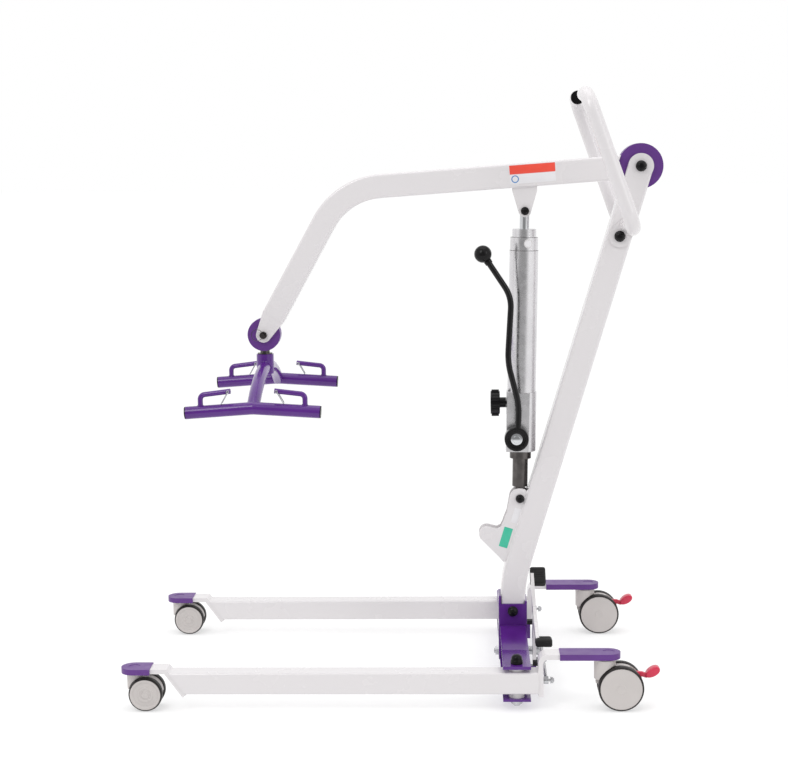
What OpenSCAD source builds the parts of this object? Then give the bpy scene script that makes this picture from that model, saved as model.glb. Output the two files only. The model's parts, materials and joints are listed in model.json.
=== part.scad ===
// Mobile patient lift: wheeled base with spreading legs, leaning mast, hydraulic pump,
// curved boom and a sling cradle with four gated hooks.
// X runs along the length with the front at -X, Y runs across with the left side at -Y,
// Z is up and the wheels stand on Z = 0.

/* [Base and legs] */
// Distance between the left and right castor centres
track_w = 610; // [600:5:630]
// Width of each leg tube
leg_w = 50; // [46:1:52]
// Height of each leg tube
leg_h = 48.5; // [46:0.5:50]
// Height of the underside of the leg tubes
leg_z = 37; // [36:0.5:38]
// X of the leg pivots and of the middle of the base bracket
leg_pivot_x = 264.4; // [263:0.1:266]
// X of the rear end of the leg tubes
leg_rear_x = 311.1; // [310:0.1:313]
// Tilt of the pedal rocker with the legs closed
rocker_tilt = 14.5; // [13:0.5:15]

/* [Castors] */
// Diameter of the rear wheels
rear_wheel_d = 100; // [96:1:100]
// Diameter of the front wheels
front_wheel_d = 75; // [72:1:75]
// X of the rear wheel axles
rear_axle_x = 491.5; // [488:0.1:493]
// X of the front wheel axles
front_axle_x = -554.8; // [-557:0.1:-553]
// Overall width of a pair of wheels
twin_w = 60; // [56:1:60]

/* [Mast and handle] */
// Width of the mast tube along the length
mast_d = 58; // [56:1:60]
// Width of the mast tube across
mast_w = 54; // [52:1:56]
// Backward lean of the mast
mast_lean = 16.94; // [16.5:0.01:17.2]
// Height of the boom pivot
pivot_z = 1179.7; // [1170:0.1:1185]
// Distance between the two handle grips
grip_w = 380; // [360:5:400]
// Diameter of the handle tube
grip_d = 33; // [30:1:34]

/* [Boom] */
// Depth of the boom tube
boom_d = 55; // [52:1:56]
// Width of the boom tube
boom_w = 50; // [46:1:52]
// Slope of the long straight run of the boom
boom_slope = 3.7; // [3.4:0.1:4]
// Slope of the front run of the boom
nose_slope = 60.8; // [60:0.1:62]
// Bend radius of the boom
boom_bend_r = 160; // [150:5:170]
// X of the cradle pin
cradle_x = -310.6; // [-313:0.1:-307]
// Height of the cradle pin
cradle_z = 801; // [795:1:805]

/* [Pump] */
// Diameter of the pump cylinder
cylinder_d = 66; // [62:1:68]
// Height of the pump's lower pin
pump_z = 411.1; // [408:0.1:414]
// Height of the pump's upper pin
rod_pin_z = 1080.6; // [1078:0.1:1083]

/* [Cradle] */
// Distance between the two sling bars
bar_span = 510; // [490:5:530]
// Length of each sling bar
bar_len = 296; // [285:1:305]
// Diameter of the sling bars
bar_d = 28; // [26:1:30]
// Rod diameter of the sling hooks
hook_d = 11.5; // [11:0.5:12]

/* [Hidden] */
$fn = 64;
eps = 0.01;
fit = 0.1;            // diameter clearance of every pin in its bore
lap = 1;              // length by which straight runs enter a bend
full = 0.2;           // extra thickness of a bend over its runs
inset = 0.08;         // how far a tangent line is set into its circle
wall = 3;             // wall of the mast and boom tubes
leg_y = track_w / 2;

// Mast: a short upright foot, a bend and a long leaning run
foot_x = leg_pivot_x + 0.5;
foot_z = 112;
knee_z = 213.8;
knee_r = 320;
knee_t = knee_r * tan(mast_lean / 2);
mast_run = (pivot_z - knee_z) / cos(mast_lean);
function on_mast(z) = [foot_x + (z - knee_z) * tan(mast_lean), z];
boom_pin = on_mast(pivot_z);
handle_pin = on_mast(1021.1);
grip_low = handle_pin + [18.6, 23];
grip_top = [leg_pivot_x + 160, 1339.5];
foot_bolt_z = 144;
cheek_in = 17;        // half gap between the cheeks of the mast head and of the boom nose
hub_half = 16.5;      // half thickness of the round hubs between those cheeks
rear_hub_r = 51.5;
nose_hub_r = 38;
pivot_pin_d = 16;
bolt_d = 14;
bolt_cap_d = 25;

// Boom: two straight runs that meet at a corner, with a bend between them
cradle_pin = [cradle_x, cradle_z];
nose_dir = [cos(nose_slope), sin(nose_slope)];
run_dir = [-cos(boom_slope), -sin(boom_slope)];
function cross2(a, b) = a[0] * b[1] - a[1] * b[0];
run_len = cross2(cradle_pin - boom_pin, nose_dir) / cross2(run_dir, nose_dir);
corner = boom_pin + run_len * run_dir;
half_turn = (nose_slope - boom_slope) / 2;
bend_t = boom_bend_r * tan(half_turn);
mid_dir = -run_dir - nose_dir;
bend_c = corner + boom_bend_r / cos(half_turn) * mid_dir / norm(mid_dir);
nose_len = norm(corner - cradle_pin);
nose_r = 17.5;        // radius of the rounded nose tip
release_pin_d = 12.7;

// Pump: stands on its lower pin and leans to its upper pin
pump_pin = [leg_pivot_x + 17.8, pump_z];
rod_pin = [leg_pivot_x + 31.5, rod_pin_z];
pump_len = norm(rod_pin - pump_pin);
pump_lean = atan2(rod_pin[0] - pump_pin[0], rod_pin[1] - pump_pin[1]);
rod_d = 22;
foot_d = 23;          // barrel around the lower pin, which clears the mast
piston_u = 265;       // underside of the piston above the lower pin
block_u = 112;        // underside of the pump block
block_h = 139;
gland_u = 560;        // underside of the gland
collar_u = 579;       // underside of the collar on the cylinder
collar_top_u = 609;
pump_pin_d = 14;
rod_pin_d = 12;
bracket_in = 15;
bracket_out = 21;
lug_in = 12;
lug_out = 18;
lever_hub = [leg_pivot_x + 9.5, 558];
lever_y = -50;
knob_p = [leg_pivot_x - 65.7, lever_y - 6, 985.3];
lever_rod_d = 14;
valve_z = 636;

// Legs, arms and castors
arm_w = 46;
rear_arm_z = 115;     // underside of the rear arm plate
rear_arm_t = 11;
front_arm_z = 83.5;   // underside of the front arm plate
front_arm_t = 10;
front_arm_x = -464.6; // lowest point of the slanted end of the leg tube
front_arm_slope = 53.6;
rear_stem_x = rear_axle_x - 34.1;
front_stem_x = front_axle_x - 24.8;
stem_d = 12;
web_half = 8.8;       // half thickness of the castor housing between the wheels
rim_share = 0.92;     // radius of the wheel discs as a share of the tyre's
wheel_gap = 10;       // inner face of each wheel from the castor's middle
leg_bolt_d = 14;
leg_top = leg_z + leg_h;
wing_z = 95.5;        // underside of the bracket's upper plate over the legs
sheet = 5;

// Pedal rocker and its two link rods
rocker_z = 39.5;
rocker_x = leg_rear_x + 0.5;
rocker_t = 8;
pad_slope = 22;       // upward slope of the pads away from the middle
link_x = rocker_x + 18;
link_arm = 27;
link_end_y = leg_y - 8;
link_end_z = 60;
link_d = 8;
rod_end_d = 17;
rod_start = 6.6;      // from the middle of an eye to the end of the rod inside it
rocker_pin_d = 6;
pivot_bolt_d = 12;

// Cradle
bar_y = bar_span / 2;
bar_mid_z = cradle_z - 137;
bar_droop = 3.7;
boss_top = cradle_z - 46;
boss_bottom = cradle_z - 92;
arm_r = 556;
arm_top_z = cradle_z - 77;
arm_a = asin((bar_y - 3) / arm_r);
hook_inset = 32.6;
hook_rise = 30.5;
hook_run = 67;
hook_bend = 11;
hook_slope = 6.9;
wire_d = 2.2;
gate_len = 30;
gate_slope = 60;

// ---- Helpers ----

module cyl_x(x0, x1, y, z, d) translate([x0, y, z]) rotate([0, 90, 0]) cylinder(h = x1 - x0, d = d);

module cyl_y(p, y0, y1, d) translate([p[0], y0, p[1]]) rotate([-90, 0, 0]) cylinder(h = y1 - y0, d = d);

module cyl_z(x, y, z0, z1, d) translate([x, y, z0]) cylinder(h = z1 - z0, d = d);

// A flat outline given as [x, z], thick from y0 to y1
module plate_y(y0, y1) translate([0, y1, 0]) rotate([90, 0, 0]) linear_extrude(y1 - y0) children();

// A flat outline given as [y, z], thick from x0 to x1
module plate_x(x0, x1) translate([x0, 0, 0]) rotate([90, 0, 90]) linear_extrude(x1 - x0) children();

// A round bar between two points
module strut(p, q, d) {
    v = q - p;
    translate(p) rotate([0, acos(v[2] / norm(v)), atan2(v[1], v[0])]) cylinder(h = norm(v), d = d);
}

module ball(p, d) translate(p) sphere(d = d);

// Two circles joined by their outer tangents, set in a little so that they cross the circles
module wedge2d(p, q, rp, rq) {
    v = q - p;
    a = atan2(v[1], v[0]);
    b = acos((rp - rq) / norm(v));
    np = rp - inset;
    nq = rq - inset;
    translate(p) circle(r = rp);
    translate(q) circle(r = rq);
    polygon([p + np * [cos(a + b), sin(a + b)], q + nq * [cos(a + b), sin(a + b)],
        q + nq * [cos(a - b), sin(a - b)], p + np * [cos(a - b), sin(a - b)]]);
}

// A rectangle with rounded corners, centred
module rrect(w, h, r) {
    square([w - 2 * r, h], center = true);
    square([w, h - 2 * r], center = true);
    for (x = [-1, 1], y = [-1, 1])
        translate([x * (w / 2 - r), y * (h / 2 - r)]) circle(r = r);
}

// A straight run of rounded bar in the XZ plane, leaning by a from the vertical
module run(p, a, len, w, b, r)
    translate([p[0], 0, p[1]]) rotate([0, a, 0]) linear_extrude(len) rrect(w, b, r);

// A bend of the same bar about the point c, from angle a0 to a1
module bend(c, rad, a0, a1, w, b, r)
    translate([c[0], 0, c[1]]) rotate([90, 0, 0]) rotate([0, 0, a0])
        rotate_extrude(angle = a1 - a0) translate([rad, 0]) rrect(w + full, b + full, r);

// Both sides of the machine
module both_sides() {
    children();
    mirror([0, 1, 0]) children();
}

// A hexagonal head or nut along X
module hex_x(x0, x1, y, z, flats)
    translate([x0, y, z]) rotate([0, 90, 0]) cylinder(h = x1 - x0, d = flats / cos(30), $fn = 6);

// ---- Base ----

// Outline of the folded upper sheet, seen along X
module wing2d() {
    out = leg_y + leg_w / 2;
    polygon([[0, 106], [-44, 106], [-leg_y + 102, wing_z], [-out, wing_z], [-out, wing_z + sheet],
        [-leg_y + 102, wing_z + sheet], [-44, 111], [0, 111]]);
}

module base_bracket() color("#6a3596") {
    x0 = leg_pivot_x - 30.5;
    x1 = leg_pivot_x + 30.5;
    out = leg_y + leg_w / 2;
    cheek = mast_w / 2;
    difference() {
        union() {
            both_sides() {
                plate_x(x0, x1) wing2d();
                // side cheek of the mast socket
                translate([x0, -cheek - sheet, 110]) cube([x1 - x0, sheet, 51]);
                // rubber stop post
                translate([x1 - 8, -leg_y + 125, 21]) cube([26, 16, 35]);
                // outer rim of the upper plate, turned down a little
                translate([x0, -out, wing_z - 2]) cube([x1 - x0, 2.5, 2 + sheet]);
            }
            // lower plate under both legs
            translate([x0, -out, 21]) cube([x1 - x0, 2 * out, sheet]);
            // front and rear walls, which carry the rocker pivot
            plate_x(x0 - 2.5, x0 + 2.5) wall2d(181);
            plate_x(x1 - 2.5, x1 + 2.5) wall2d(168);
        }
        for (s = [-1, 1])
            cyl_z(leg_pivot_x, s * leg_y, 0, 120, leg_bolt_d + fit);
        cyl_x(x0 - 10, x1 + 10, 0, rocker_z, pivot_bolt_d + fit);
        cyl_y([leg_pivot_x - 0.1, foot_bolt_z], -60, 60, bolt_d + fit);
        // room for the mast foot between the walls
        translate([foot_x - mast_d / 2 - 0.2, -cheek, 111]) cube([mast_d + 0.4, mast_w, 100]);
    }
}

// Front and rear wall of the mast socket, rounded about the rocker pivot
module wall2d(top) {
    translate([0, rocker_z]) circle(r = 21.5);
    translate([-21.5, rocker_z]) square([43, 70]);
    translate([-32, 100]) square([64, top - 100]);
}

module mast_solid(w, b, r, top, from) {
    run([foot_x, from], 0, knee_z - knee_t - from + lap, w, b, r);
    bend([foot_x + knee_r, knee_z - knee_t], knee_r, 180 - mast_lean, 180, w, b, r);
    run(on_mast(knee_z + (knee_t - lap) * cos(mast_lean)), mast_lean, mast_run - knee_t + lap - top, w, b, r);
}

module mast() color("#dcd9da") difference() {
    union() {
        mast_solid(mast_d, mast_w, 6, 0, foot_z);
        cyl_y(boom_pin, -mast_w / 2, mast_w / 2, mast_d);
    }
    mast_solid(mast_d - 2 * wall, mast_w - 2 * wall, 3, 72, foot_z - eps);
    // slot for the boom's rear hub
    cyl_y(boom_pin, -cheek_in, cheek_in, 2 * rear_hub_r + 5);
    cyl_y(boom_pin, -40, 40, pivot_pin_d + fit);
    cyl_y(handle_pin, -40, 40, bolt_d + fit);
    cyl_y([leg_pivot_x - 0.1, foot_bolt_z], -40, 40, bolt_d + fit);
}

// Two side plates welded to the front of the mast, with a hook-shaped horn
module pump_bracket() color("#dcd9da") both_sides() difference() {
    plate_y(-bracket_out, -bracket_in) difference() {
        union() {
            wedge2d(pump_pin, pump_pin + [-7, -38], 24, 24);
            wedge2d([leg_pivot_x - 60, 326], [leg_pivot_x - 8, 296], 18, 34);
            polygon([pump_pin + [-31, -34], [leg_pivot_x - 27, 343], [leg_pivot_x - 44, 335],
                [leg_pivot_x - 58, 304], [leg_pivot_x - 22, 260], [leg_pivot_x + 24, 262],
                on_mast(430), pump_pin + [20, 0]]);
        }
        // concave edge above the horn
        translate([leg_pivot_x - 40, 360]) circle(r = 19);
        // the mast's front face
        translate(on_mast(knee_z)) rotate(-mast_lean) translate([-mast_d / 2, -20]) square([100, 400]);
        translate(on_mast(knee_z)) translate([-mast_d / 2 + 4, -100]) square([100, 110]);
    }
    cyl_y(pump_pin, -60, 60, pump_pin_d + fit);
}

// Shanks of the four cross bolts: mast foot, pump foot, handle and boom pivot
module cross_bolts() color("#b9bcc0") {
    cyl_y([leg_pivot_x - 0.1, foot_bolt_z], -mast_w / 2 - 10, mast_w / 2 + 10, bolt_d);
    cyl_y(pump_pin, -bracket_out - 4, bracket_out + 4, pump_pin_d);
    cyl_y(handle_pin, -mast_w / 2 - 10, mast_w / 2 + 10, bolt_d);
    cyl_y(boom_pin, -mast_w / 2 - 5, mast_w / 2 + 5, pivot_pin_d);
}

// Caps are blind: the shank ends inside them
module bolt_caps() color("#232224") for (s = [-1, 1]) {
    blind_cap([leg_pivot_x - 0.1, foot_bolt_z], s, mast_w / 2 + sheet, 24, bolt_d, 5);
    blind_cap(pump_pin, s, bracket_out, 20, pump_pin_d, 4);
    blind_cap(handle_pin, s, mast_w / 2 + 5.2, bolt_cap_d, bolt_d, 4.8);
    blind_cap(boom_pin, s, mast_w / 2, bolt_cap_d, pivot_pin_d, 5);
}

// A domed plastic cap: base ring over a bolt end, closed by a domed top
module blind_cap(p, s, y, d, shank, deep)
    translate([p[0], s * y, p[1]]) rotate([s * -90, 0, 0]) difference() {
        union() {
            cylinder(h = 6, d = d);
            translate([0, 0, 6]) intersection() {
                cylinder(h = 8, d = d);
                translate([0, 0, 6 - d * 0.6]) sphere(d = d * 1.2);
            }
        }
        translate([0, 0, -1]) cylinder(h = deep + 1, d = shank);
    }

// A quarter bend of a round tube in a plane across the machine that leans forward by a
module quarter(c, a, rad, from, d)
    translate(c) rotate([0, -a, 0]) rotate([90, 0, 90]) rotate([0, 0, from])
        rotate_extrude(angle = 90) translate([rad, 0]) circle(d = d);

// One grip: elbow at the mast, long leaning tube and an inward stub at the top
module grip_path(d) {
    y = -grip_w / 2;
    r_low = 45;
    r_top = 42;
    v = grip_top - grip_low;
    a = atan2(-v[0], v[1]);
    cross_y0 = -mast_w / 2 - 5.2;
    up = [v[0], 0, v[1]] / norm(v);
    low_c = [grip_low[0], y + r_low, grip_low[1]] + r_low * up;
    top_c = [grip_top[0], y + r_top, grip_top[1]] - r_top * up;
    strut([grip_low[0], cross_y0, grip_low[1]], low_c - r_low * up - [0, lap, 0], d);
    quarter(low_c, a, r_low, 180, d + full);
    strut([grip_low[0], y, grip_low[1]] + (r_low - lap) * up,
        [grip_top[0], y, grip_top[1]] - (r_top - lap) * up, d);
    quarter(top_c, a, r_top, 90, d + full);
    strut(top_c + r_top * up - [0, lap, 0], [grip_top[0], y + 75, grip_top[1]], d);
}

module handle() color("#e0dcdf") both_sides() difference() {
    union() {
        grip_path(grip_d);
        // side plate on the mast
        plate_y(-mast_w / 2 - 5.2, -mast_w / 2) wedge2d(handle_pin, grip_low, 25, 21);
    }
    cyl_y(handle_pin, -60, 60, bolt_d + fit);
    // bore of the open upper end
    cyl_y(grip_top, -grip_w / 2 + 45, -grip_w / 2 + 85, grip_d - 5);
}

module handle_plugs() color("#1d1c1e") both_sides() {
    cyl_y(grip_top, -grip_w / 2 + 60, -grip_w / 2 + 75, grip_d - 5);
    cyl_y(grip_top, -grip_w / 2 + 75, -grip_w / 2 + 77.5, grip_d - 1.5);
}

module leg_pivot_bolts() color("#b9bcc0") for (s = [-1, 1]) {
    cyl_z(leg_pivot_x, s * leg_y, 6, wing_z + sheet + 9, leg_bolt_d);
    translate([leg_pivot_x, s * leg_y, 10]) cylinder(h = 11, d = 22 / cos(30), $fn = 6);
}

module leg_pivot_caps() color("#232224") for (s = [-1, 1])
    translate([leg_pivot_x, s * leg_y, wing_z + sheet]) difference() {
        union() {
            cylinder(h = 10, d = 27);
            translate([0, 0, 10]) intersection() {
                cylinder(h = 11, d = 26);
                translate([0, 0, -3]) sphere(d = 28);
            }
        }
        translate([0, 0, -1]) cylinder(h = 10, d = leg_bolt_d);
    }

// Thrust washers between the bracket plates and the legs
module leg_washers() color("#e6e4e2") for (s = [-1, 1]) difference() {
    union() {
        cyl_z(leg_pivot_x, s * leg_y, leg_top + 0.3, wing_z, 34);
        cyl_z(leg_pivot_x, s * leg_y, 26, leg_z - 0.3, 34);
    }
    cyl_z(leg_pivot_x, s * leg_y, 0, 120, leg_bolt_d + fit);
}

module pedal_pivot_bolt() color("#b9bcc0") {
    x0 = leg_pivot_x - 33;
    x1 = leg_pivot_x + 33;
    cyl_x(x0 - 11, rocker_x + rocker_t + 8, 0, rocker_z, pivot_bolt_d);
    hex_x(x0 - 8, x0, 0, rocker_z, 19);
    cyl_x(x1, rocker_x - 0.4, 0, rocker_z, 20);
    hex_x(rocker_x + rocker_t + 0.4, rocker_x + rocker_t + 7, 0, rocker_z, 19);
}

module pedal_stops() color("#1d1c1e") for (s = [-1, 1])
    translate([leg_pivot_x + 41, s * (leg_y - 133) - 8, 56]) cube([15, 16, 10]);

// ---- Legs ----

// Slanted end of the leg tube and the bent front arm, seen along Y
module front_arm2d() {
    up = [-cos(front_arm_slope), sin(front_arm_slope)];
    out = [-sin(front_arm_slope), -cos(front_arm_slope)];
    foot = [front_arm_x, leg_z - 1];
    top = front_arm_z + front_arm_t;
    inner = foot + up * (top - foot[1]) / sin(front_arm_slope);
    outer = foot + out * front_arm_t;
    elbow = outer + up * (front_arm_z - outer[1]) / sin(front_arm_slope);
    polygon([foot, inner, [front_stem_x, top], [front_stem_x, front_arm_z], elbow, outer]);
}

module rear_arm2d() {
    r = 20;
    x = leg_rear_x;
    top = rear_arm_z + rear_arm_t;
    translate([x, leg_z - 6]) square([rear_arm_t, top - r - leg_z + 6]);
    intersection() {
        translate([x + r, top - r]) difference() {
            circle(r = r);
            circle(r = r - rear_arm_t);
        }
        translate([x, top - r]) square([r, r]);
    }
    translate([x + r, rear_arm_z]) square([rear_stem_x + 8 - x - r, rear_arm_t]);
}

module leg_tube(w, h, r, x0, x1)
    translate([x0, 0, leg_z + leg_h / 2]) rotate([90, 0, 90]) linear_extrude(x1 - x0) rrect(w, h, r);

module leg() {
    difference() {
        union() {
            leg_tube(leg_w, leg_h, 5, front_arm_x - 75, leg_rear_x);
            plate_y(-arm_w / 2, arm_w / 2) rear_arm2d();
            cyl_z(rear_stem_x + 8, 0, rear_arm_z, rear_arm_z + rear_arm_t, arm_w);
        }
        // hollow of the tube
        leg_tube(leg_w - 5, leg_h - 5, 2.5, front_arm_x - 155, leg_rear_x - eps);
        // slanted front end
        plate_y(-40, 40) translate([front_arm_x - lap, leg_z - 1]) rotate(180 - front_arm_slope)
            translate([-20, 0]) square([200, 100]);
        cyl_z(leg_pivot_x, 0, 0, 120, leg_bolt_d + fit);
        cyl_z(rear_stem_x, 0, 0, 150, stem_d);
        // drain hole
        cyl_z(front_arm_x + 148, 0, 0, leg_z + 10, 8);
    }
    difference() {
        union() {
            plate_y(-arm_w / 2, arm_w / 2) front_arm2d();
            cyl_z(front_stem_x - 2, 0, front_arm_z, front_arm_z + front_arm_t, arm_w);
        }
        cyl_z(front_stem_x, 0, 0, 150, stem_d);
    }
    // sleeve around the pivot bolt
    difference() {
        cyl_z(leg_pivot_x, 0, leg_z + 1, leg_top - 1, 22);
        cyl_z(leg_pivot_x, 0, 0, 120, leg_bolt_d + fit);
    }
    // pin for the link rod
    cyl_x(leg_rear_x + 5, link_x + 8, leg_y - link_end_y, link_end_z, rocker_pin_d);
}

module leg_left() color("#dcd9da") translate([0, -leg_y, 0]) leg();

module leg_right() color("#dcd9da") translate([0, leg_y, 0]) mirror([0, 1, 0]) leg();

// Purple plastic end cap over an arm plate, from x0 to the round tip about x1
module arm_cap(x0, x1, z0, t, r, stem_x) {
    lo = min(x0, x1);
    hi = max(x0, x1);
    difference() {
        union() {
            translate([lo, -r, z0 - 1]) cube([hi - lo, 2 * r, t + 2.5]);
            cyl_z(x1, 0, z0 - 1, z0 + t + 1.5, 2 * r);
        }
        // pocket for the arm plate
        translate([min(x0, stem_x) - 1, -arm_w / 2, z0 - 2]) cube([abs(stem_x - x0) + 1.001, arm_w, t + 2]);
        cyl_z(stem_x, 0, z0 - 2, z0 + t, arm_w);
        // shallow round recess over the stem
        cyl_z(stem_x, 0, z0 + t + 0.8, z0 + t + 3, 26);
    }
}

module arm_caps() {
    arm_cap(leg_rear_x + 47, rear_stem_x + 8, rear_arm_z, rear_arm_t, 26, rear_stem_x + 8);
    arm_cap(front_stem_x + 35.5, front_stem_x - 2, front_arm_z, front_arm_t, 29, front_stem_x - 2);
}

module arm_caps_left() color("#6a3596") translate([0, -leg_y, 0]) arm_caps();

module arm_caps_right() color("#6a3596") translate([0, leg_y, 0]) arm_caps();

module castor_stems() {
    cyl_z(rear_stem_x, 0, rear_arm_z - 28, rear_arm_z + rear_arm_t, stem_d);
    cyl_z(rear_stem_x, 0, rear_arm_z - 3, rear_arm_z, 42);
    cyl_z(front_stem_x, 0, front_arm_z - 22, front_arm_z + front_arm_t, stem_d);
    cyl_z(front_stem_x, 0, front_arm_z - 3, front_arm_z, 34);
}

module castor_stems_left() color("#c3c5c8") translate([0, -leg_y, 0]) castor_stems();

module castor_stems_right() color("#c3c5c8") translate([0, leg_y, 0]) castor_stems();

// ---- Pedals ----

// Places a part of the rocker with its pivot at the origin and the rest tilt
module on_rocker() translate([0, 0, rocker_z]) rotate([rocker_tilt, 0, 0]) children();

module pedal_rocker() color("#e6e3e4") on_rocker() {
    difference() {
        union() {
            plate_x(rocker_x, rocker_x + rocker_t) {
                wedge2d([0, 0], [0, 92], 21, 24);
                wedge2d([0, 0], [0, -link_arm], 20, 8);
                for (s = [-1, 1])
                    rocker_arm2d(s);
            }
            for (s = [-1, 1])
                foot_plate(s);
        }
        cyl_x(rocker_x - 5, rocker_x + 20, 0, 0, pivot_bolt_d + fit);
    }
    for (s = [-1, 1])
        cyl_x(rocker_x + 2, link_x + 8, 0, s * link_arm, rocker_pin_d);
}

// Flat plate at the end of a rocker arm, which carries a rubber pad
module foot_plate(s) translate([rocker_x, s * 153, 115]) rotate([s * pad_slope, 0, 0])
    translate([0, -18, -3]) cube([34, 36, 5]);

module rocker_arm2d(s) wedge2d([0, 92], [s * 150, 114], 16, 11);

module pedal_pads() color("#1d1c1e") on_rocker() for (s = [-1, 1]) difference() {
    translate([rocker_x, s * 153, 115]) rotate([s * pad_slope, 0, 0])
        translate([-1, 0, 0]) rotate([0, 90, 0]) linear_extrude(38) rrect(19, 50, 6);
    foot_plate(s);
    plate_x(rocker_x - 5, rocker_x + rocker_t) rocker_arm2d(s);
}

// A zinc link rod from the rocker to a leg, with an open eye at each end
module link_rod(p, q) {
    v = (q - p) / norm(q - p);
    difference() {
        union() {
            strut(p + rod_start * v, q - rod_start * v, link_d);
            for (e = [p, q])
                cyl_x(link_x - 4.6, link_x + 4.6, e[1], e[2], rod_end_d);
        }
        for (e = [p, q])
            cyl_x(link_x - 10, link_x + 10, e[1], e[2], rocker_pin_d + 4.4);
    }
}

module link_rod_left() color("#b9bcc0") link_rod(
    [link_x, -link_arm * sin(rocker_tilt), rocker_z + link_arm * cos(rocker_tilt)],
    [link_x, -link_end_y, link_end_z]);

module link_rod_right() color("#b9bcc0") link_rod(
    [link_x, link_arm * sin(rocker_tilt), rocker_z - link_arm * cos(rocker_tilt)],
    [link_x, link_end_y, link_end_z]);

// ---- Boom ----

module boom_solid(w, b, r, gap) {
    a_run = 90 - boom_slope;
    run(corner - (bend_t - lap) * run_dir, a_run, run_len - bend_t + lap, w, b, r);
    bend(bend_c, boom_bend_r, 90 + boom_slope, 90 + nose_slope, w, b, r);
    run(cradle_pin + gap * nose_dir, 90 - nose_slope, nose_len - bend_t + lap - gap, w, b, r);
}

// Tapered fork at the front end of the boom, a little narrower than the tube
module nose() plate_y(-boom_w / 2 + 0.4, boom_w / 2 - 0.4) {
    across = [-nose_dir[1], nose_dir[0]];
    wide = (boom_d / 2 - 0.3) * across;
    tip = (nose_r - 0.3) * across;
    translate(cradle_pin) circle(r = nose_r);
    polygon([cradle_pin + 50 * nose_dir + wide, cradle_pin + 50 * nose_dir - wide,
        cradle_pin - 3 * nose_dir - tip, cradle_pin - 3 * nose_dir + tip]);
}

module boom() color("#dcd9da") difference() {
    union() {
        boom_solid(boom_d, boom_w, 6, 46);
        nose();
    }
    boom_solid(boom_d - 2 * wall, boom_w - 2 * wall, 3, 58);
    cyl_y(boom_pin, -60, 60, 2 * rear_hub_r);
    cyl_y(cradle_pin, -cheek_in, cheek_in, 2 * nose_hub_r + 8);
    cyl_y(cradle_pin, -60, 60, release_pin_d + fit);
}

module boom_rear_hub() color("#6a3596") difference() {
    cyl_y(boom_pin, -hub_half, hub_half, 2 * rear_hub_r);
    cyl_y(boom_pin, -60, 60, pivot_pin_d + fit);
}

// Two cheeks under the boom for the top of the pump
module boom_lug() color("#dcd9da") both_sides() difference() {
    plate_y(-lug_out, -lug_in) difference() {
        wedge2d(rod_pin + [0, 50], rod_pin, 28, 14);
        translate(boom_pin) rotate(boom_slope) translate([-800, -boom_d / 2]) square([900, 200]);
    }
    cyl_y(rod_pin, -60, 60, rod_pin_d + fit);
}

module lug_bolt_caps() color("#232224") for (s = [-1, 1])
    translate([rod_pin[0], s * lug_out, rod_pin[1]]) rotate([s * -90, 0, 0]) {
        cylinder(h = 4, d = 19);
        translate([0, 0, 4]) cylinder(h = 3, d1 = 19, d2 = 14);
        translate([0, 0, lug_in - lug_out + 0.4]) cylinder(h = lug_out - lug_in, d = rod_pin_d);
    }

// ---- Cradle ----

module release_pin() color("#8f9296") difference() {
    union() {
        cyl_y(cradle_pin, -boom_w / 2 - 7, boom_w / 2 + 6, release_pin_d);
        cyl_y(cradle_pin, -boom_w / 2 - 15, -boom_w / 2 - 6, 9);
        cyl_y(cradle_pin, -boom_w / 2 - 7, -boom_w / 2 - 0.5, 17);
    }
    // cross hole for the ring
    cyl_z(cradle_x - 1.2, -boom_w / 2 - 11.5, cradle_z - 20, cradle_z + 20, 4.6);
}

module release_ring() color("#8f9296")
    translate([cradle_x - 13.6, -boom_w / 2 - 11.5, cradle_z + 1]) rotate([90, 0, 0])
        rotate_extrude() translate([13, 0]) circle(d = 2.2);

module cradle_hub() color("#6a3596") difference() {
    cyl_y(cradle_pin, -hub_half, hub_half, 2 * nose_hub_r);
    cyl_y(cradle_pin, -60, 60, release_pin_d + fit);
    cyl_z(cradle_x, 0, cradle_z - 60, cradle_z - 14, 22);
}

// Steel spindle on which the cradle turns
module cradle_swivel() color("#9da0a4") {
    cyl_z(cradle_x, 0, boss_top + 2.6, cradle_z - 14, 22);
    cyl_z(cradle_x, 0, boss_top + 0.4, boss_top + 2.6, 34);
    cyl_z(cradle_x, 0, boss_bottom + 3, boss_top + 1, 16);
    cyl_z(cradle_x, 0, boss_bottom + 2, boss_bottom + 10, 26);
}

// A tube of the cradle that droops on both sides of its middle
module sling_bar(y) for (s = [-1, 1]) {
    strut([cradle_x, y, bar_mid_z], bar_point(s, bar_len / 2, y), bar_d);
    ball([cradle_x, y, bar_mid_z], bar_d + 2 * full);
}

function bar_point(s, along, y) = [cradle_x + s * along, y, bar_mid_z - along * tan(bar_droop)];

module cradle_frame() color("#6a3596") difference() {
    union() {
        cyl_z(cradle_x, 0, boss_bottom, boss_top, 40);
        translate([cradle_x, 0, arm_top_z - arm_r]) rotate([90, 0, -90]) rotate([0, 0, 90 - arm_a])
            rotate_extrude(angle = 2 * arm_a) translate([arm_r, 0]) circle(d = 29);
        sling_bar(-bar_y);
        sling_bar(bar_y);
    }
    cyl_z(cradle_x, 0, boss_bottom - 50, boss_top + 50, 16 + fit);
    cyl_z(cradle_x, 0, boss_bottom - 50, boss_bottom + 10.4, 28);
}

// Centre of the free tip of the hook on the side s of the bar at y
function hook_foot(s, y) = bar_point(s, bar_len / 2 - hook_inset, y);
function hook_tip(s, y) = hook_foot(s, y) + [-s * hook_run, 0, bar_d / 2 + hook_rise + 1];

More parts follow.
